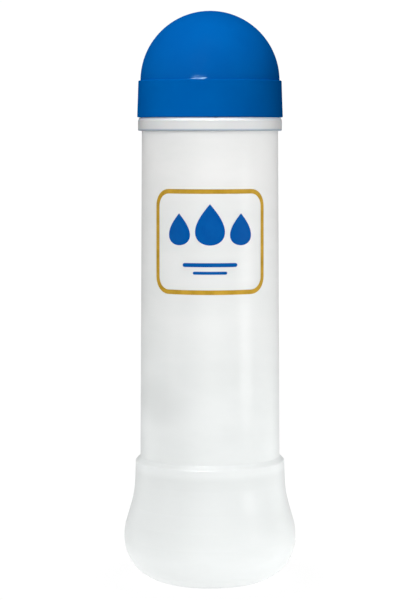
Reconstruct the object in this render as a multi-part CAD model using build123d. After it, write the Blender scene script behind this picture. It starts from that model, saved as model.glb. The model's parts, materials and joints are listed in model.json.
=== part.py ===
from build123d import *
import os
from math import asin, degrees, hypot, radians, sqrt, tan

# A squeeze bottle for lotion or gel: a blow-moulded body on a flared foot, a white screw-on nozzle cap
# with a foam sealing ring under it, and a blue domed overcap that pushes on over the nozzle.
# Millimetres, +Z up. The origin is the centre of the foot ring, on the surface the bottle stands on.
# The bottle's front faces -Y. Each outline is drawn as (radius, height) and turned about +Z.

# ---- driving dimensions: the body ----
TOTAL_HEIGHT = 220.0
WALL = 1.2                      # blown wall of the body
FOOT_RING_INNER = 18.3          # flat ring the bottle stands on
PUSH_UP = 4.2                   # height of the hollow under the base
CORNER_ARC = 17.3               # round lower corner of the foot
BULGE_RADIUS = 33.5             # widest radius of the foot
BULGE_HEIGHT = 16.7
BULGE_ARC = 22.7                # convex arc above the widest place
FLARE_ANGLE = 16.4              # slope of the flare from the vertical, degrees
FLARE_HEIGHT = 6.5              # height of the straight part of the flare
WAIST_ARC = 37.0                # concave arc that ends the flare
WAIST_ANGLE = 2.1               # slope left at the top of the foot, degrees
LEDGE_HEIGHT = 46.7             # top of the foot
LEDGE_FILLET = 0.6
TUBE_LOW_RADIUS = 27.1          # tube above the ledge, tapered towards the neck
TUBE_LOW_HEIGHT = 48.4
TUBE_TOP_RADIUS = 26.2
TUBE_TOP_HEIGHT = 174.6
SHOULDER_ARC = 3.5
SHOULDER_ANGLE = 80.0           # how far the shoulder's arc turns in, degrees
PINCH_OFF_LENGTH = 27.0         # mould seam left across the push-up
PINCH_OFF_WIDTH = 0.9
PINCH_OFF_HEIGHT = 0.35

# ---- driving dimensions: neck, threads and sealing ring ----
NECK_RADIUS = 18.0
NECK_FOOT = 178.7
NECK_TOP = 189.2
NECK_RIM_FILLET = 0.4
THREAD_PITCH = 4.2
THREAD_REACH = 1.2              # radial height of a ridge
THREAD_BASE = 2.2
THREAD_CREST = 1.2
THREAD_SUNK = 0.4               # how deep a ridge's foot runs into its wall
THREAD_TURNS = 1.25
THREAD_CLEARANCE = 0.25         # radial gap between a crest and the wall it faces
NECK_THREAD_START = 182.0
THREAD_DROP = 1.9               # how far the cap's ridge runs below the neck's ridge
CAP_THREAD_LEAD_IN = 145.0      # degrees the cap's ridge starts further round
GASKET_INNER = 16.2
GASKET_OUTER = 19.1
GASKET_THICKNESS = 1.0
SEAL_GAP = 0.05

# ---- driving dimensions: the nozzle cap ----
COLLAR_RADIUS = 27.66
COLLAR_BOTTOM = 174.2
COLLAR_TOP = 179.3
COLLAR_BEVEL_HEIGHT = 1.2       # steep bevel round the collar's top
COLLAR_BEVEL_DEPTH = 0.5
COLLAR_FILLET = 0.5
SKIRT_BORE = 26.6
CAP_WALL = 1.15
BOSS_RADIUS = 26.1
BOSS_FILLET = 0.8
BEAD_RADIUS = 26.4              # low snap bead round the boss
BEAD_HEIGHT = 184.5
BEAD_WIDTH = 2.6
SLEEVE_BOTTOM = 180.4           # threaded sleeve inside the boss
NOZZLE_FOOT_RADIUS = 9.0
NOZZLE_WAIST_RADIUS = 5.9
NOZZLE_WAIST_HEIGHT = 196.5
NOZZLE_TIP_RADIUS = 3.1
NOZZLE_TOP = 209.5
NOZZLE_TIP_FILLET = 0.9
ORIFICE_RADIUS = 1.5
ORIFICE_LENGTH = 5.0
ORIFICE_STEP = 0.25             # how much wider the channel starts behind the orifice
NOTCH_WIDTH = 1.3               # lining-up notch in the collar's top edge
NOTCH_DEPTH = 0.6
NOTCH_TO_BOSS = 0.2             # what the notch leaves uncut beside the boss
NOTCH_BEARING = 4.5             # degrees from the front, towards +X

# ---- driving dimensions: the dome cap ----
BAND_BOTTOM = 179.4
BAND_TOP = 193.4
BAND_LOW_RADIUS = 28.0
BAND_TOP_RADIUS = 27.5
BAND_FILLET = 0.3
BAND_BORE = 26.46
DOME_RADIUS = 26.72
DOME_WALL = 1.6
STOP_HEIGHT = 192.1             # step inside the cap, just above the boss
SEAL_TUBE_RADIUS = 6.1
SEAL_TUBE_BORE = 5.0
SEAL_TUBE_BOTTOM = 204.5
PIN_RADIUS = 2.6
PIN_TIP_RADIUS = 1.42
PIN_SHOULDER = 210.4
PIN_BOTTOM = 207.2

# ---- worked out from the dimensions above ----
FOOT_RING_OUTER = BULGE_RADIUS - CORNER_ARC + sqrt(CORNER_ARC**2 - BULGE_HEIGHT**2)
PUSH_UP_ARC = (FOOT_RING_INNER**2 + PUSH_UP**2) / (2 * PUSH_UP)
NECK_BORE = NECK_RADIUS - WALL
GASKET_BOTTOM = NECK_TOP + SEAL_GAP
DECK_BOTTOM = GASKET_BOTTOM + GASKET_THICKNESS + SEAL_GAP
DECK_TOP = DECK_BOTTOM + CAP_WALL
COLLAR_ROOF = COLLAR_TOP - CAP_WALL
BOSS_BORE = BOSS_RADIUS - CAP_WALL
SLEEVE_BORE = NECK_RADIUS + THREAD_REACH + THREAD_CLEARANCE
DOME_CENTRE = TOTAL_HEIGHT - DOME_RADIUS


def lathe(outline):
    """The solid of a closed (radius, height) outline turned about +Z."""
    return revolve(Plane.XZ * make_face(outline), Axis.Z)


def tube(bore, radius, bottom, top):
    """A plain round wall between two radii and two heights."""
    return Pos(0, 0, bottom) * extrude(Circle(radius) - Circle(bore), top - bottom)


def rod(radius, bottom, top):
    """A plain round bar between two heights."""
    return Pos(0, 0, bottom) * extrude(Circle(radius), top - bottom)


def corner_near(face, radius, height):
    """The corner of a flat outline that lies nearest to a place."""
    return min(face.vertices(), key=lambda corner: hypot(corner.X - radius, corner.Y - height))


def round_edges(solid, fillet_radius, edge_radius, height):
    """Rounds the circular edges of a turned solid that lie at one radius and one height."""
    near = 0.05
    chosen = [
        edge
        for edge in solid.edges().filter_by(GeomType.CIRCLE)
        if abs(edge.radius - edge_radius) < near and abs(edge.arc_center.Z - height) < near
    ]
    return fillet(chosen, fillet_radius)


def thread_ridge(root_radius, crest_radius, start_height, start_angle):
    """A right-handed trapezoid ridge whose flanks run on into the wall that carries it."""
    sunk = THREAD_SUNK if crest_radius < root_radius else -THREAD_SUNK
    flank = (THREAD_BASE - THREAD_CREST) / 2 / THREAD_REACH
    half_foot = THREAD_BASE / 2 + THREAD_SUNK * flank
    path = Helix(THREAD_PITCH, THREAD_PITCH * THREAD_TURNS, root_radius)
    section = Polygon(
        (root_radius + sunk, -half_foot),
        (crest_radius, -THREAD_CREST / 2),
        (crest_radius, THREAD_CREST / 2),
        (root_radius + sunk, half_foot),
        align=None,
    )
    ridge = sweep(Plane.XZ * section, path, is_frenet=True)
    return Pos(0, 0, start_height) * Rot(0, 0, start_angle) * ridge


# ---- bottle body ----


def body_side():
    """The outer outline from the axis under the base, round the foot and up to the neck's rim."""
    push_up = JernArc((0, PUSH_UP), (1, 0), PUSH_UP_ARC, -degrees(asin(FOOT_RING_INNER / PUSH_UP_ARC)))
    foot_ring = Line(push_up @ 1, (FOOT_RING_OUTER, 0))
    corner = RadiusArc(foot_ring @ 1, (BULGE_RADIUS, BULGE_HEIGHT), -CORNER_ARC)
    bulge = JernArc(corner @ 1, (0, 1), BULGE_ARC, FLARE_ANGLE)
    flare_run = Vector(-FLARE_HEIGHT * tan(radians(FLARE_ANGLE)), FLARE_HEIGHT)
    flare = Line(bulge @ 1, bulge @ 1 + flare_run)
    waist = JernArc(flare @ 1, flare % 1, WAIST_ARC, WAIST_ANGLE - FLARE_ANGLE)
    ledge_radius = (waist @ 1).X - (LEDGE_HEIGHT - (waist @ 1).Y) * tan(radians(WAIST_ANGLE))
    ledge_and_tube = Polyline(
        waist @ 1,
        (ledge_radius, LEDGE_HEIGHT),
        (TUBE_LOW_RADIUS, TUBE_LOW_HEIGHT),
        (TUBE_TOP_RADIUS, TUBE_TOP_HEIGHT),
    )
    shoulder = JernArc(ledge_and_tube @ 1, (0, 1), SHOULDER_ARC, SHOULDER_ANGLE)
    neck = Polyline(shoulder @ 1, (NECK_RADIUS, NECK_FOOT), (NECK_RADIUS, NECK_TOP))
    return [push_up, foot_ring, corner, bulge, flare, waist, ledge_and_tube, shoulder, neck], ledge_radius


def body_section():
    """Half of the body's outer shape as a flat face, with the ledge, neck and rim corners rounded."""
    side, ledge_radius = body_side()
    closing = Polyline((NECK_RADIUS, NECK_TOP), (0, NECK_TOP), (0, PUSH_UP))
    face = make_face([*side, closing])
    for radius, height, fillet_radius in (
        (ledge_radius, LEDGE_HEIGHT, LEDGE_FILLET),
        (TUBE_LOW_RADIUS, TUBE_LOW_HEIGHT, LEDGE_FILLET),
        (NECK_RADIUS, NECK_FOOT, LEDGE_FILLET),
        (NECK_RADIUS, NECK_TOP, NECK_RIM_FILLET),
    ):
        face = fillet(corner_near(face, radius, height), fillet_radius)
    return face


def pinch_off_seam():
    """The low bar the blow mould leaves where it pinches the base shut, inside the push-up."""
    sheet = Sphere(PUSH_UP_ARC + WALL / 2) - Sphere(PUSH_UP_ARC - PINCH_OFF_HEIGHT)
    bar = Pos(0, 0, PUSH_UP_ARC) * Box(PINCH_OFF_LENGTH, PINCH_OFF_WIDTH, 4 * PUSH_UP)
    return Pos(0, 0, PUSH_UP - PUSH_UP_ARC) * (sheet & bar)


def bottle_body():
    """The hollow body in one wall thickness, open at the neck, with its thread."""
    half = body_section()
    inside = offset(half + mirror(half, Plane.YZ), -WALL, kind=Kind.INTERSECTION)
    half_inside = inside & Rectangle(TOTAL_HEIGHT, TOTAL_HEIGHT, align=(Align.MIN, Align.MIN))
    outer = revolve(Plane.XZ * half, Axis.Z)
    cavity = revolve(Plane.XZ * half_inside, Axis.Z)
    mouth = rod(NECK_BORE, NECK_TOP - 2 * WALL, NECK_TOP + WALL)
    ridge = thread_ridge(NECK_RADIUS, NECK_RADIUS + THREAD_REACH, NECK_THREAD_START, 0)
    return outer + ridge + pinch_off_seam() - cavity - mouth


# ---- sealing ring ----


def neck_gasket():
    """The flat foam ring that the nozzle cap presses on the neck's rim."""
    return tube(GASKET_INNER, GASKET_OUTER, GASKET_BOTTOM, GASKET_BOTTOM + GASKET_THICKNESS)


# ---- nozzle cap ----


def nozzle_outline():
    """The cap's wall as one closed outline: collar, boss with its snap bead, deck and hollow nozzle."""
    bead = ThreePointArc(
        (BOSS_RADIUS, BEAD_HEIGHT - BEAD_WIDTH / 2),
        (BEAD_RADIUS, BEAD_HEIGHT),
        (BOSS_RADIUS, BEAD_HEIGHT + BEAD_WIDTH / 2),
    )
    collar = Polyline(
        (SKIRT_BORE, COLLAR_ROOF),
        (SKIRT_BORE, COLLAR_BOTTOM),
        (COLLAR_RADIUS, COLLAR_BOTTOM),
        (COLLAR_RADIUS, COLLAR_TOP - COLLAR_BEVEL_HEIGHT),
        (COLLAR_RADIUS - COLLAR_BEVEL_DEPTH, COLLAR_TOP),
        (BOSS_RADIUS, COLLAR_TOP),
        bead @ 0,
    )
    cone = Vector(NOZZLE_TIP_RADIUS - NOZZLE_WAIST_RADIUS, NOZZLE_TOP - NOZZLE_WAIST_HEIGHT)
    waist = Vector(NOZZLE_WAIST_RADIUS, NOZZLE_WAIST_HEIGHT)
    foot = TangentArc(waist, (NOZZLE_FOOT_RADIUS, DECK_TOP), tangent=-cone)
    boss = Polyline(bead @ 1, (BOSS_RADIUS, DECK_TOP), foot @ 1)
    channel_waist = waist - (CAP_WALL, 0)
    channel_foot = TangentArc(channel_waist, (NOZZLE_FOOT_RADIUS - CAP_WALL, DECK_BOTTOM), tangent=-cone)
    spout = Polyline(
        foot @ 0,
        (NOZZLE_TIP_RADIUS, NOZZLE_TOP),
        (ORIFICE_RADIUS, NOZZLE_TOP),
        (ORIFICE_RADIUS, NOZZLE_TOP - ORIFICE_LENGTH),
        (ORIFICE_RADIUS + ORIFICE_STEP, NOZZLE_TOP - ORIFICE_LENGTH),
        channel_waist,
    )
    inside = Polyline(channel_foot @ 1, (BOSS_BORE, DECK_BOTTOM), (BOSS_BORE, COLLAR_ROOF), collar @ 0)
    return [collar, bead, boss, foot, spout, channel_foot, inside]


def lining_up_notch():
    """The small V in the collar's top edge, beside the middle of the front."""
    wedge = Polygon(
        (-NOTCH_WIDTH / 2, COLLAR_TOP),
        (0, COLLAR_TOP - NOTCH_DEPTH),
        (NOTCH_WIDTH / 2, COLLAR_TOP),
        align=None,
    )
    start = BOSS_RADIUS + NOTCH_TO_BOSS
    return Rot(0, 0, NOTCH_BEARING) * Pos(0, -start, 0) * extrude(Plane.XZ * wedge, COLLAR_RADIUS)


def nozzle_cap():
    """The white closure: collar, push-on boss, threaded sleeve and pouring nozzle in one moulding."""
    shell = lathe(nozzle_outline())
    shell = round_edges(shell, COLLAR_FILLET, COLLAR_RADIUS, COLLAR_BOTTOM)
    shell = round_edges(shell, BOSS_FILLET, BOSS_RADIUS, DECK_TOP)
    shell = round_edges(shell, NOZZLE_TIP_FILLET, NOZZLE_TIP_RADIUS, NOZZLE_TOP)
    sleeve = tube(SLEEVE_BORE, SLEEVE_BORE + CAP_WALL, SLEEVE_BOTTOM, DECK_BOTTOM + CAP_WALL / 2)
    turned = CAP_THREAD_LEAD_IN / 360 * THREAD_PITCH
    ridge = thread_ridge(
        SLEEVE_BORE,
        SLEEVE_BORE - THREAD_REACH,
        NECK_THREAD_START - THREAD_DROP + turned,
        CAP_THREAD_LEAD_IN,
    )
    return shell + sleeve + ridge - lining_up_notch()


# ---- dome cap ----


def dome_arc(wall, start_height):
    """The dome's arc, inset by a wall, from a height up to the axis."""
    radius = DOME_RADIUS - wall
    start = degrees(asin((start_height - DOME_CENTRE) / radius))
    return CenterArc((0, DOME_CENTRE), radius, start, 90 - start)


def dome_cap():
    """The blue overcap: a tapered band with a ledge, a dome, and the plug that shuts the nozzle."""
    dome = dome_arc(0, BAND_TOP)
    skin = Polyline(
        (0, BAND_BOTTOM),
        (BAND_LOW_RADIUS, BAND_BOTTOM),
        (BAND_TOP_RADIUS, BAND_TOP),
        dome @ 0,
    )
    solid = lathe([skin, dome, Line(dome @ 1, (0, BAND_BOTTOM))])
    solid = round_edges(solid, BAND_FILLET, BAND_LOW_RADIUS, BAND_BOTTOM)
    solid = round_edges(solid, BAND_FILLET, BAND_TOP_RADIUS, BAND_TOP)
    inner_dome = dome_arc(DOME_WALL, DOME_CENTRE)
    bore = Polyline(
        (0, BAND_BOTTOM),
        (BAND_BORE, BAND_BOTTOM),
        (BAND_BORE, STOP_HEIGHT),
        (DOME_RADIUS - DOME_WALL, STOP_HEIGHT),
        inner_dome @ 0,
    )
    hollow = lathe([bore, inner_dome, Line(inner_dome @ 1, (0, BAND_BOTTOM))])
    into_dome = TOTAL_HEIGHT - DOME_WALL
    seal_tube = tube(SEAL_TUBE_BORE, SEAL_TUBE_RADIUS, SEAL_TUBE_BOTTOM, into_dome)
    pin = rod(PIN_RADIUS, PIN_SHOULDER, into_dome + DOME_WALL / 2)
    tip = rod(PIN_TIP_RADIUS, PIN_BOTTOM, PIN_SHOULDER + DOME_WALL)
    return solid - hollow + seal_tube + pin + tip


PARTS = {
    "bottle_body": bottle_body,
    "neck_gasket": neck_gasket,
    "nozzle_cap": nozzle_cap,
    "dome_cap": dome_cap,
}

os.makedirs("parts", exist_ok=True)
for name, make in PARTS.items():
    piece = make()
    piece.label = name
    export_step(piece, f"parts/{name}.step")
    print(f"{name}: {piece.volume / 1000:.2f} cm3, {len(piece.solids())} solid")
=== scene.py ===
import json
import math

import bpy
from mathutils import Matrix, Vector

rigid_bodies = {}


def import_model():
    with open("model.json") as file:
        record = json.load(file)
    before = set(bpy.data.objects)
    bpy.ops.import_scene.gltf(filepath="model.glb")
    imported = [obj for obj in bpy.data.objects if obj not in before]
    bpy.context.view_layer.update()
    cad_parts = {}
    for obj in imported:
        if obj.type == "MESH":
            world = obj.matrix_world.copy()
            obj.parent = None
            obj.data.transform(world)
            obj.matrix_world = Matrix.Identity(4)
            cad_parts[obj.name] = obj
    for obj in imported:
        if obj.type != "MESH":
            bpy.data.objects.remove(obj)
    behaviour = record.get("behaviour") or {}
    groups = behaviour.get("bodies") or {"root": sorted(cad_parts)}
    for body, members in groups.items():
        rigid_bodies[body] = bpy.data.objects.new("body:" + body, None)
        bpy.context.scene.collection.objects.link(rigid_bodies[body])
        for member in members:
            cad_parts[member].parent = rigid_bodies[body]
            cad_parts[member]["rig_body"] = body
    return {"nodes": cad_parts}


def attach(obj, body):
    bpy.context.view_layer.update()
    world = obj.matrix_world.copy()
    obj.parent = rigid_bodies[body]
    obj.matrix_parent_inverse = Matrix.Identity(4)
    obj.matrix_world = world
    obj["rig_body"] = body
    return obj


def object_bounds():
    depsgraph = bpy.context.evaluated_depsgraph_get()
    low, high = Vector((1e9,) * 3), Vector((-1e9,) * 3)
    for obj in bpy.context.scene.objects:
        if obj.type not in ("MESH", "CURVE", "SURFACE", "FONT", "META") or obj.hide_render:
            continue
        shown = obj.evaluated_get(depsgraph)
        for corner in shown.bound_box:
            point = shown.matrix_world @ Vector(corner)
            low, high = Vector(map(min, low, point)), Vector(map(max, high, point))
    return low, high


# A squeeze bottle for lotion or gel with a domed blue overcap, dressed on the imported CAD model.
# Everything is in metres in the model's own frame: +Z up, the bottle's printed front faces -Y.

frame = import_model()
cad_low, cad_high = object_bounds()
nodes = frame["nodes"]
scene = bpy.context.scene
MM = 0.001

# ---- camera ----
CAMERA_DISTANCE = 0.780         # in front of the bottle's axis
CAMERA_HEIGHT = 0.1744
CAMERA_TILT_DOWN = 4.8          # degrees
CAMERA_LENS = 121.2             # mm on a 36 mm sensor
CAMERA_NEAR = 0.01              # the nearest that it sees

# ---- printed decoration on the tube ----
INK_THICKNESS = 0.06 * MM       # how far the ink stands out from the wall
INK_SUNK = 0.05 * MM            # how far its underside sits inside the wall
PRINT_TOP = 152.5 * MM
PRINT_BOTTOM = 113.0 * MM
PRINT_HALF_WIDTH = 23.0 * MM    # half the frame's width, measured round the tube
FRAME_CORNER = 6.5 * MM
FRAME_LINE = 1.7 * MM
FRAME_CORNER_STEPS = 10
FRAME_SIDE_STEPS = 24
DROP_FOOT = 131.5               # mm, the height that all the drops stand on
DROPS = (                       # mm: centre, measured round the tube; width; height
    (-12.0, 9.0, 12.0),
    (0.0, 11.5, 15.5),
    (12.0, 9.0, 12.0),
)
DROP_TAPER = 1.1                # how fast a drop draws in towards its point
DROP_FULLNESS = 1.3             # gives back the width that the taper takes away
BARS = (                        # mm: length; height of the underside; thickness
    (21.0, 123.4, 1.5),
    (13.0, 120.6, 1.1),
)
LEAST_HALF_WIDTH = 0.02 * MM    # what is left of a shape at its two ends

# ---- milky wall of the bottle ----
MILK_CHANGE = (40.0 * MM, 168.0 * MM)       # heights between which the lower tone turns into the upper
MILK_UPPER = (0.835, 0.835, 0.827)
MILK_LOWER = (0.80, 0.826, 0.822)
MILK_CLOUD = (0.72, 0.745, 0.737)
CLOUD_SHARE = 0.45
CLOUD_STRETCH = (1.0, 1.0, 2.6)             # the clouds are wider than they are high
WAVE_STRETCH = (1.0, 1.0, 0.45)             # the blown wall's waves are higher than they are wide
MILK_PATCH_AND_SHADE = (0.63, 0.65, 0.645)             # the grey of the soft patch, and of the painted shade on the foot's flare and standing rim
PATCH_SHARE = 0.45                          # one soft grey patch, low on the left of the tube
PATCH_CENTRE = (-21.0 * MM, -17.0 * MM, 71.0 * MM)
PATCH_SIZE = (17.0 * MM, 17.0 * MM, 10.0 * MM)
PATCH_FADE = (0.3, 1.3)                     # in patch sizes from its centre
FLARE_SHADE_SHARE = 0.32                          # painted shade: the foot's flare is painted greyer between these heights
FLARE_RISE = (8.0 * MM, 24.0 * MM)
FLARE_FALL = (42.0 * MM, 45.0 * MM)
RIM_SHADE_SHARE = 0.3                             # and painted shade greys the standing rim below this height
STANDING_RIM = 1.6 * MM

# ---- white closure ----
CLOSURE_TONES = ((0.73, 0.74, 0.74), (0.77, 0.78, 0.78))
COLLAR_BEVEL_HIGHLIGHT = (178.0 * MM, 178.4 * MM)     # above this the collar's bevel carries a painted highlight, lighter than the rest
BEVEL_HIGHLIGHT_TONE = (0.90, 0.91, 0.93)
COLLAR_HEM_SHADE = (174.6 * MM, 175.2 * MM)       # below this the collar's edge is painted darker and cooler: painted shade where it meets the body
HEM_SHADE_TONE = (0.43, 0.50, 0.58)

# ---- blue cap ----
DOME_TONES = ((0.0, 0.108, 0.420), (0.0, 0.118, 0.445))
DOME_POLISH = (193.0 * MM, 193.4 * MM)      # the band below is satin, the dome above is polished
SATIN_ROUGHER = 0.2                         # how much rougher the band is
DOME_COAT = 0.02                            # a faint clear skin that shows the dome's one glint

# ---- foam ring and inks ----
FOAM_TONES = ((0.72, 0.72, 0.70), (0.86, 0.86, 0.84))
FOAM_CELLS = 3200.0                         # cells to the metre
GOLD_TONES = ((0.56, 0.34, 0.04), (0.42, 0.25, 0.02))
BLUE_TONES = ((0.001, 0.092, 0.36), (0.001, 0.08, 0.33))
INK_ROUGHNESS = (0.35, 0.5)

# ---- stage ----
FLOOR_RADIUS = 9.0
FLOOR_STEPS = 96
FLOOR_PAPER = (0.9, 0.9, 0.9, 1.0)
PAPER_SHARE = 0.1               # how much plain, shaded paper shows beside the foot
PAPER_FADE = (0.03, 0.08)       # radii over which it gives way to even white
FLOOR_LIGHT = (1.06, 0.35)      # how bright the floor is as a light source, near the bottle and far off
FLOOR_NEAR = (0.04, 0.24)       # radii between which the first gives way to the second
WHITE = 1.02                    # how bright the backdrop looks to the camera
WORLD_SIDES = (0.5, 0.2)        # the sky as a light source, left and right
WORLD_DEPTH = (1.0, 0.22)       # its share in front of the bottle and behind it
GLINT_BLUE = (0.5, 0.85, 1.0)   # colour of the light that glints on the dome,
GLINT_COOL = (0.86, 0.95, 1.0)  # of the one that glints on the collar's bevel
GLINT_PLAIN = (1, 1, 1)         # and of the one that glints on the tube and the ledge


# ---- small helpers ----


def new_object(name, mesh):
    obj = bpy.data.objects.new(name, mesh)
    scene.collection.objects.link(obj)
    return obj


def paint(obj, material):
    """Puts one material on every slot of an object."""
    if not obj.material_slots:
        obj.data.materials.append(material)
    for slot in obj.material_slots:
        slot.material = material


# ---- materials ----


class Shader:
    """A Principled material and the few node patterns that all materials here share."""

    MIX_COLOURS = (6, 7)        # the colour sockets of a Mix node, which shares their names with others
    MIX_RESULT = 2

    def __init__(self, name):
        self.material = bpy.data.materials.new(name)
        self.material.use_nodes = True
        self.nodes = self.material.node_tree.nodes
        self.links = self.material.node_tree.links
        self.surface = self.nodes["Principled BSDF"]
        self.position = self.nodes.new("ShaderNodeTexCoord").outputs["Object"]

    def set(self, **values):
        """Sets plain values on the shader's own sockets, named with _ for each space."""
        for key, value in values.items():
            self.surface.inputs[key.replace("_", " ")].default_value = value

    def feed(self, socket, value):
        self.links.new(value, self.surface.inputs[socket])

    def mapped(self, scale, location=(0, 0, 0)):
        """Object coordinates, scaled and then shifted."""
        node = self.nodes.new("ShaderNodeMapping")
        node.inputs["Scale"].default_value = scale
        node.inputs["Location"].default_value = location
        self.links.new(self.position, node.inputs["Vector"])
        return node.outputs["Vector"]

    def noise(self, scale, detail, roughness=0.5, stretch=(1, 1, 1)):
        node = self.nodes.new("ShaderNodeTexNoise")
        node.inputs["Scale"].default_value = scale
        node.inputs["Detail"].default_value = detail
        node.inputs["Roughness"].default_value = roughness
        self.links.new(self.mapped(stretch), node.inputs["Vector"])
        return node.outputs["Fac"]

    def remap(self, value, low, high, to_low, to_high, smooth_step=False):
        node = self.nodes.new("ShaderNodeMapRange")
        node.interpolation_type = "SMOOTHSTEP" if smooth_step else "LINEAR"
        node.inputs["From Min"].default_value = low
        node.inputs["From Max"].default_value = high
        node.inputs["To Min"].default_value = to_low
        node.inputs["To Max"].default_value = to_high
        self.links.new(value, node.inputs["Value"])
        return node.outputs["Result"]

    def mix(self, factor, first, second):
        """A colour mix; first and second are colours or colour outputs."""
        node = self.nodes.new("ShaderNodeMix")
        node.data_type = "RGBA"
        self.links.new(factor, node.inputs["Factor"])
        for index, value in zip(self.MIX_COLOURS, (first, second)):
            if isinstance(value, tuple):
                node.inputs[index].default_value = (*value, 1.0)
            else:
                self.links.new(value, node.inputs[index])
        return node.outputs[self.MIX_RESULT]

    def mottle(self, tones, scale, detail, roughness=0.5):
        """Two tones mixed by soft noise."""
        share = self.remap(self.noise(scale, detail, roughness), 0.35, 0.65, 0.0, 1.0)
        return self.mix(share, *tones)

    def uneven(self, scale, detail, low, high):
        """A value that wanders between low and high."""
        return self.remap(self.noise(scale, detail), 0.3, 0.7, low, high)

    def length(self, vector):
        node = self.nodes.new("ShaderNodeVectorMath")
        node.operation = "LENGTH"
        self.links.new(vector, node.inputs[0])
        return node.outputs["Value"]

    def height(self):
        node = self.nodes.new("ShaderNodeSeparateXYZ")
        self.links.new(self.position, node.inputs["Vector"])
        return node.outputs["Z"]

    def math(self, operation, first, second):
        node = self.nodes.new("ShaderNodeMath")
        node.operation = operation
        for socket, value in zip(node.inputs, (first, second)):
            if isinstance(value, (int, float)):
                socket.default_value = value
            else:
                self.links.new(value, socket)
        return node.outputs["Value"]

    def bump(self, height, distance, strength, under=None):
        node = self.nodes.new("ShaderNodeBump")
        node.inputs["Strength"].default_value = strength
        node.inputs["Distance"].default_value = distance
        self.links.new(height, node.inputs["Height"])
        if under is not None:
            self.links.new(under, node.inputs["Normal"])
        return node.outputs["Normal"]


def bottle_plastic():
    """Natural polyethylene: milky, satin, a little cloudy, cooler towards the foot, greyer in one soft
    patch, with painted shade on the foot's flare and at the standing rim.
    """
    s = Shader("bottle_plastic")
    height = s.height()
    down = s.remap(height, *MILK_CHANGE, 1.0, 0.0, smooth_step=True)
    milk = s.mix(down, MILK_UPPER, MILK_LOWER)
    clouds = s.noise(16.0, 4.0, 0.55, CLOUD_STRETCH)
    cloud = s.remap(clouds, 0.36, 0.66, 0.0, 1.0, smooth_step=True)
    cloudy = s.mix(s.math("MULTIPLY", cloud, CLOUD_SHARE), milk, MILK_CLOUD)
    from_patch = s.mapped(
        [1 / size for size in PATCH_SIZE],
        [-centre / size for centre, size in zip(PATCH_CENTRE, PATCH_SIZE)],
    )
    patch = s.remap(s.length(from_patch), *PATCH_FADE, PATCH_SHARE, 0.0, smooth_step=True)
    # painted shade on the foot's flare, fading in above FLARE_RISE and out above FLARE_FALL
    rise = s.remap(height, *FLARE_RISE, 0.0, FLARE_SHADE_SHARE, smooth_step=True)
    flare_shade = s.math("MULTIPLY", rise, s.remap(height, *FLARE_FALL, 1.0, 0.0, smooth_step=True))
    # painted shade at the standing rim, darkest at the very bottom of the foot
    rim = s.remap(height, 0.0, STANDING_RIM, RIM_SHADE_SHARE, 0.0)
    # the soft grey patch and the painted shade on flare and rim, whichever is strongest
    patch_and_shade = s.math("MAXIMUM", rim, s.math("MAXIMUM", patch, flare_shade))
    s.feed("Base Color", s.mix(patch_and_shade, cloudy, MILK_PATCH_AND_SHADE))
    s.feed("Roughness", s.uneven(420.0, 2.0, 0.40, 0.50))
    waves = s.bump(s.noise(55.0, 2.0, 0.5, WAVE_STRETCH), 0.15 * MM, 0.35)
    s.feed("Normal", s.bump(s.noise(2600.0, 2.0), 0.012 * MM, 0.5, waves))
    s.set(Subsurface_Weight=0.25, Subsurface_Scale=0.004, Subsurface_Radius=(1.0, 1.0, 1.0))
    s.set(Specular_IOR_Level=0.04, IOR=1.51, Coat_Weight=0.12, Coat_Roughness=0.1)
    return s.material


def nozzle_plastic():
    """White polypropylene moulding, fine satin, with a painted highlight on its collar's bevel and painted
    shade along the collar's hem.
    """
    s = Shader("nozzle_plastic")
    tone = s.mottle(CLOSURE_TONES, 90.0, 3.0)
    height = s.height()
    # painted highlight on the collar's bevel
    bevel_highlight = s.remap(height, *COLLAR_BEVEL_HIGHLIGHT, 0.0, 1.0, smooth_step=True)
    # painted shade along the collar's hem, where it meets the body
    hem_shade = s.remap(height, *COLLAR_HEM_SHADE, 1.0, 0.0, smooth_step=True)
    s.feed("Base Color", s.mix(hem_shade, s.mix(bevel_highlight, tone, BEVEL_HIGHLIGHT_TONE), HEM_SHADE_TONE))
    s.feed("Roughness", s.uneven(500.0, 2.0, 0.30, 0.40))
    s.feed("Normal", s.bump(s.noise(1800.0, 2.0), 0.01 * MM, 0.5))
    s.set(Subsurface_Weight=0.1, Subsurface_Scale=0.002, IOR=1.49)
    return s.material


def dome_plastic():
    """Blue polypropylene moulding with a faint orange-peel skin: a satin band under a smoother dome."""
    s = Shader("dome_plastic")
    s.feed("Base Color", s.mottle(DOME_TONES, 60.0, 3.0))
    height = s.height()
    satin = s.remap(height, *DOME_POLISH, SATIN_ROUGHER, 0.0)
    s.feed("Roughness", s.math("ADD", satin, s.uneven(700.0, 3.0, 0.34, 0.46)))
    s.feed("Normal", s.bump(s.noise(900.0, 2.0), 0.015 * MM, 0.45))
    s.feed("Coat Weight", s.remap(height, *DOME_POLISH, 0.0, DOME_COAT))
    s.set(Specular_IOR_Level=0.0, IOR=1.49, Coat_Roughness=0.08, Coat_IOR=2.2)
    return s.material


def gasket_foam():
    """White closed-cell foam with tiny pores."""
    s = Shader("gasket_foam")
    cells = s.nodes.new("ShaderNodeTexVoronoi")
    cells.inputs["Scale"].default_value = FOAM_CELLS
    s.links.new(s.position, cells.inputs["Vector"])
    pore = s.remap(cells.outputs["Distance"], 0.0, 0.6, 0.0, 1.0)
    s.feed("Base Color", s.mix(pore, *FOAM_TONES))
    s.feed("Roughness", s.remap(pore, 0.0, 1.0, 0.95, 0.8))
    s.feed("Normal", s.bump(pore, 0.05 * MM, 0.6))
    return s.material


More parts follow.
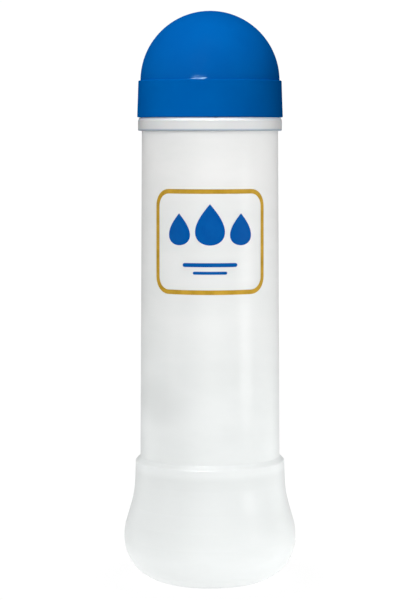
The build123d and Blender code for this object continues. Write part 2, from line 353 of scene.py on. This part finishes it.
def ink(name, tones):
    """Screen-printed ink: slightly uneven in colour and gloss."""
    s = Shader(name)
    s.feed("Base Color", s.mottle(tones, 220.0, 4.0, 0.6))
    s.feed("Roughness", s.uneven(900.0, 2.0, *INK_ROUGHNESS))
    s.feed("Normal", s.bump(s.noise(2400.0, 2.0), 0.01 * MM, 0.6))
    s.set(Specular_IOR_Level=0.02)
    return s.material


paint(nodes["bottle_body"], bottle_plastic())
paint(nodes["nozzle_cap"], nozzle_plastic())
paint(nodes["dome_cap"], dome_plastic())
paint(nodes["neck_gasket"], gasket_foam())
INKS = {"gold_print": ink("gold_print", GOLD_TONES), "blue_print": ink("blue_print", BLUE_TONES)}


# ---- printed decoration ----


def tube_radius(height):
    """The tube's outer radius at a height, found by a ray fired at the axis."""
    outside = 2 * cad_high.x
    hit, place, _, _ = nodes["bottle_body"].ray_cast(Vector((0, -outside, height)), Vector((0, 1, 0)))
    if not hit:
        raise RuntimeError("the tube was not found")
    return abs(place.y)


RADIUS_LOW = tube_radius(PRINT_BOTTOM)
RADIUS_TOP = tube_radius(PRINT_TOP)


def on_tube(along, height, lift):
    """A point of flat artwork, laid round the tube's front; lift is the height above the wall."""
    share = (height - PRINT_BOTTOM) / (PRINT_TOP - PRINT_BOTTOM)
    radius = RADIUS_LOW + share * (RADIUS_TOP - RADIUS_LOW)
    bearing = along / radius
    reach = radius + lift
    return (reach * math.sin(bearing), -reach * math.cos(bearing), height)


def ink_patch(name, grid, slot, closed=False):
    """A thin closed film from a grid of flat (along, height) points, row by row."""
    rows, columns = len(grid), len(grid[0])
    flat = [point for row in grid for point in row]
    outer = [on_tube(a, h, INK_THICKNESS) for a, h in flat]
    inner = [on_tube(a, h, -INK_SUNK) for a, h in flat]
    faces = []
    shift = len(flat)
    last_row = rows if closed else rows - 1
    for i in range(last_row):
        j = (i + 1) % rows
        for k in range(columns - 1):
            a, b = i * columns + k, i * columns + k + 1
            c, d = j * columns + k + 1, j * columns + k
            faces.append((a, b, c, d))
            faces.append((a + shift, d + shift, c + shift, b + shift))
        for k in (0, columns - 1):
            a, b = i * columns + k, j * columns + k
            faces.append((a, b, b + shift, a + shift))
    if not closed:
        for i in (0, rows - 1):
            for k in range(columns - 1):
                a, b = i * columns + k, i * columns + k + 1
                faces.append((a, a + shift, b + shift, b))
    mesh = bpy.data.meshes.new(name)
    mesh.from_pydata(outer + inner, [], faces)
    mesh.validate()
    obj = new_object(name, mesh)
    paint(obj, INKS[slot])
    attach(obj, "bottle")


def rounded_rectangle(half_width, low, high, corner):
    """Points round a rounded rectangle, anticlockwise, with runs divided so that they follow the tube."""
    points = []
    centres = (
        (half_width - corner, high - corner, 0),
        (-half_width + corner, high - corner, 90),
        (-half_width + corner, low + corner, 180),
        (half_width - corner, low + corner, 270),
    )
    for index, (x, z, start) in enumerate(centres):
        for step in range(FRAME_CORNER_STEPS + 1):
            angle = math.radians(start + 90 * step / FRAME_CORNER_STEPS)
            points.append((x + corner * math.cos(angle), z + corner * math.sin(angle)))
        next_x, next_z, next_start = centres[(index + 1) % len(centres)]
        angle = math.radians(next_start)
        target = (next_x + corner * math.cos(angle), next_z + corner * math.sin(angle))
        begin = points[-1]
        for step in range(1, FRAME_SIDE_STEPS):
            t = step / FRAME_SIDE_STEPS
            points.append(tuple(a + t * (b - a) for a, b in zip(begin, target)))
    return points


def gold_frame():
    outer = rounded_rectangle(PRINT_HALF_WIDTH, PRINT_BOTTOM, PRINT_TOP, FRAME_CORNER)
    inner = rounded_rectangle(
        PRINT_HALF_WIDTH - FRAME_LINE,
        PRINT_BOTTOM + FRAME_LINE,
        PRINT_TOP - FRAME_LINE,
        FRAME_CORNER - FRAME_LINE,
    )
    shares = (0.0, 0.5, 1.0)
    grid = [[tuple(a + t * (b - a) for a, b in zip(o, i)) for t in shares] for o, i in zip(outer, inner)]
    ink_patch("print_frame", grid, "gold_print", closed=True)


def filled(name, centre, low, high, half_width_at, rows, columns):
    """A shape in blue ink, given by its half width at each share of its height.

    The rows stand closer together towards both ends, where the outline turns fastest.
    """
    grid = []
    for row in range(rows + 1):
        share = 0.5 - 0.5 * math.cos(math.pi * row / rows)
        half = max(half_width_at(share), LEAST_HALF_WIDTH)
        height = low + share * (high - low)
        grid.append([(centre + half * (2 * k / (columns - 1) - 1), height) for k in range(columns)])
    ink_patch(name, grid, "blue_print")


def drop_half_width(width):
    """A plain water drop: a round foot that draws in to a point."""

    def half(share):
        angle = math.acos(max(-1.0, min(1.0, 1 - 2 * share)))
        taper = math.sin(0.5 * (math.pi - angle)) ** DROP_TAPER
        return 0.5 * width * math.sin(angle) * taper * DROP_FULLNESS

    return half


def bar_half_width(length, thickness):
    """A bar with round ends."""

    def half(share):
        rise = (2 * share - 1) * thickness / 2
        return length / 2 - thickness / 2 + math.sqrt(max((thickness / 2) ** 2 - rise**2, 0.0))

    return half


gold_frame()
for index, (centre, width, tall) in enumerate(DROPS, 1):
    low, high = DROP_FOOT * MM, (DROP_FOOT + tall) * MM
    filled(f"print_drop_{index}", centre * MM, low, high, drop_half_width(width * MM), rows=28, columns=13)
for index, (length, foot, thickness) in enumerate(BARS, 1):
    low, high = foot * MM, (foot + thickness) * MM
    outline = bar_half_width(length * MM, thickness * MM)
    filled(f"print_bar_{index}", 0.0, low, high, outline, rows=10, columns=41)


# ---- stage: floor, world, lights, camera ----


def make_floor():
    """A round white sweep: plain paper under the bottle that fades into the white beyond."""
    mesh = bpy.data.meshes.new("floor")
    turns = [2 * math.pi * k / FLOOR_STEPS for k in range(FLOOR_STEPS)]
    rim = [(FLOOR_RADIUS * math.cos(turn), FLOOR_RADIUS * math.sin(turn), 0) for turn in turns]
    mesh.from_pydata(rim, [], [tuple(range(FLOOR_STEPS))])
    obj = new_object("floor", mesh)
    s = Shader("floor_paper")
    s.set(Base_Color=FLOOR_PAPER, Roughness=0.9, Specular_IOR_Level=0.1)
    distance = s.length(s.position)
    paper = s.remap(distance, *PAPER_FADE, PAPER_SHARE, 0.0, smooth_step=True)
    seen = s.nodes.new("ShaderNodeLightPath").outputs["Is Camera Ray"]
    glow = s.nodes.new("ShaderNodeEmission")
    lit = s.remap(distance, *FLOOR_NEAR, *FLOOR_LIGHT, smooth_step=True)
    s.links.new(s.math("MAXIMUM", lit, s.math("MULTIPLY", seen, WHITE)), glow.inputs["Strength"])
    mixed = s.nodes.new("ShaderNodeMixShader")
    s.links.new(s.math("SUBTRACT", 1.0, s.math("MULTIPLY", seen, paper)), mixed.inputs["Fac"])
    s.links.new(s.surface.outputs[0], mixed.inputs[1])
    s.links.new(glow.outputs[0], mixed.inputs[2])
    s.links.new(mixed.outputs[0], s.nodes["Material Output"].inputs["Surface"])
    paint(obj, s.material)


def make_world():
    """White to the camera; as a light source, a soft sky that is brighter on the left and in front."""
    world = bpy.data.worlds.new("studio")
    scene.world = world
    world.use_nodes = True
    tree = world.node_tree
    tree.nodes.clear()
    out = tree.nodes.new("ShaderNodeOutputWorld")
    mix = tree.nodes.new("ShaderNodeMixShader")
    path = tree.nodes.new("ShaderNodeLightPath")
    light = tree.nodes.new("ShaderNodeBackground")
    seen = tree.nodes.new("ShaderNodeBackground")
    direction = tree.nodes.new("ShaderNodeTexCoord")
    split = tree.nodes.new("ShaderNodeSeparateXYZ")
    tree.links.new(direction.outputs["Generated"], split.inputs[0])
    product = tree.nodes.new("ShaderNodeMath")
    product.operation = "MULTIPLY"
    for index, (axis, ends) in enumerate((("X", WORLD_SIDES), ("Y", WORLD_DEPTH))):
        share = tree.nodes.new("ShaderNodeMapRange")
        share.inputs["From Min"].default_value = -1.0
        share.inputs["To Min"].default_value, share.inputs["To Max"].default_value = ends
        tree.links.new(split.outputs[axis], share.inputs["Value"])
        tree.links.new(share.outputs["Result"], product.inputs[index])
    tree.links.new(product.outputs["Value"], light.inputs["Strength"])
    light.inputs["Color"].default_value = (1, 1, 1, 1)
    seen.inputs["Color"].default_value = (1, 1, 1, 1)
    seen.inputs["Strength"].default_value = WHITE
    tree.links.new(path.outputs["Is Camera Ray"], mix.inputs["Fac"])
    tree.links.new(light.outputs[0], mix.inputs[1])
    tree.links.new(seen.outputs[0], mix.inputs[2])
    tree.links.new(mix.outputs[0], out.inputs["Surface"])


def area_light(name, azimuth, elevation, distance, aim_height, power, receivers):
    """An area light turned to the bottle's axis, which lights only its receivers.

    Azimuth 0 is in front and 90 is on the right. The camera never sees the light itself.
    """
    data = bpy.data.lights.new(name, "AREA")
    data.energy = power
    obj = bpy.data.objects.new(name, data)
    scene.collection.objects.link(obj)
    a, e = math.radians(azimuth), math.radians(elevation)
    out = Vector((math.sin(a) * math.cos(e), -math.cos(a) * math.cos(e), math.sin(e)))
    obj.location = Vector((0, 0, aim_height)) + out * distance
    obj.rotation_mode = "QUATERNION"
    obj.rotation_quaternion = out.to_track_quat("Z", "Y")
    obj.visible_camera = False
    lit = bpy.data.collections.new(name + "_lit")
    for receiver in receivers:
        lit.objects.link(receiver)
    obj.light_linking.receiver_collection = lit
    return obj


def softbox(name, azimuth, elevation, distance, aim_height, size, power, receivers, mirrored):
    """A round softbox; mirrored says whether it shows in reflections too."""
    obj = area_light(name, azimuth, elevation, distance, aim_height, power, receivers)
    obj.data.shape = "DISK"
    obj.data.size = size
    obj.visible_glossy = mirrored


def glint(name, azimuth, elevation, distance, aim_height, width, depth, power, receivers, colour):
    """An oval light that shows only as a glint: it sheds no diffuse light."""
    obj = area_light(name, azimuth, elevation, distance, aim_height, power, receivers)
    obj.data.shape = "ELLIPSE"
    obj.data.size = width
    obj.data.size_y = depth
    obj.data.color = colour
    obj.visible_diffuse = False


def make_camera():
    data = bpy.data.cameras.new("camera")
    data.lens = CAMERA_LENS
    data.clip_start = CAMERA_NEAR
    obj = bpy.data.objects.new("camera", data)
    scene.collection.objects.link(obj)
    obj.location = (0, -CAMERA_DISTANCE, CAMERA_HEIGHT)
    obj.rotation_euler = (math.radians(90 - CAMERA_TILT_DOWN), 0, 0)
    scene.camera = obj


make_floor()
make_world()
on_body = [nodes["bottle_body"]]
on_bottle = [o for o in scene.objects if o.get("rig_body") == "bottle" and o.type == "MESH"]
on_dome = [nodes["dome_cap"]]
on_closure = [nodes["nozzle_cap"], nodes["neck_gasket"]]
on_caps = on_dome + on_closure
on_all = on_bottle + on_caps
# name, azimuth, elevation, distance, height aimed at, diameter, power, what it lights, mirrored
SOFTBOXES = (
    ("body_low_right", 60, 4, 0.50, 0.030, 0.2, 1.2, on_bottle, True),
    ("body_low_left", -60, 4, 0.50, 0.030, 0.2, 0.53, on_bottle, True),
    ("body_low_front", 0, 4, 0.50, 0.030, 0.2, 0.32, on_bottle, True),
    ("body_high_front", 10, 30, 0.45, 0.155, 0.2, 0.53, on_bottle, True),
    ("body_high_left", -50, 30, 0.45, 0.155, 0.2, 0.37, on_bottle, True),
    ("body_edge_right", 105, 2, 0.11, 0.035, 0.05, 0.015, on_bottle, True),
    ("body_edge_left", -105, 2, 0.11, 0.035, 0.05, 0.014, on_bottle, True),
    ("body_top", 0, 80, 1.00, 0.047, 0.3, 1.4, on_bottle, True),
    ("back_fill", 180, 8, 1.10, 0.110, 0.2, 4.5, on_all, False),
    ("cap_top", 0, 65, 1.10, 0.195, 0.6, 6.6, on_caps, False),
    ("cap_left", -20, 35, 1.10, 0.195, 0.6, 4.1, on_caps, False),
    ("cap_low", -20, 5, 1.10, 0.195, 0.6, 1.6, on_caps, False),
    ("collar_right", 75, 5, 1.10, 0.177, 0.6, 4.3, on_closure, False),
)
# name, azimuth, elevation, distance, height aimed at, width, depth, power, what it lights, colour
GLINTS = (
    ("cap_glint", -17, 4.5, 1.10, 0.194, 0.50, 0.08, 15.0, on_dome, GLINT_BLUE),
    ("body_glint", -17, 52, 1.10, 0.047, 0.40, 0.45, 95.0, on_body, GLINT_PLAIN),
    ("collar_glint", -6, 45, 1.10, 0.178, 3.2, 0.4, 30.0, on_closure, GLINT_COOL),
)
for row in SOFTBOXES:
    softbox(*row)
for row in GLINTS:
    glint(*row)
make_camera()
scene.view_settings.view_transform = "Standard"
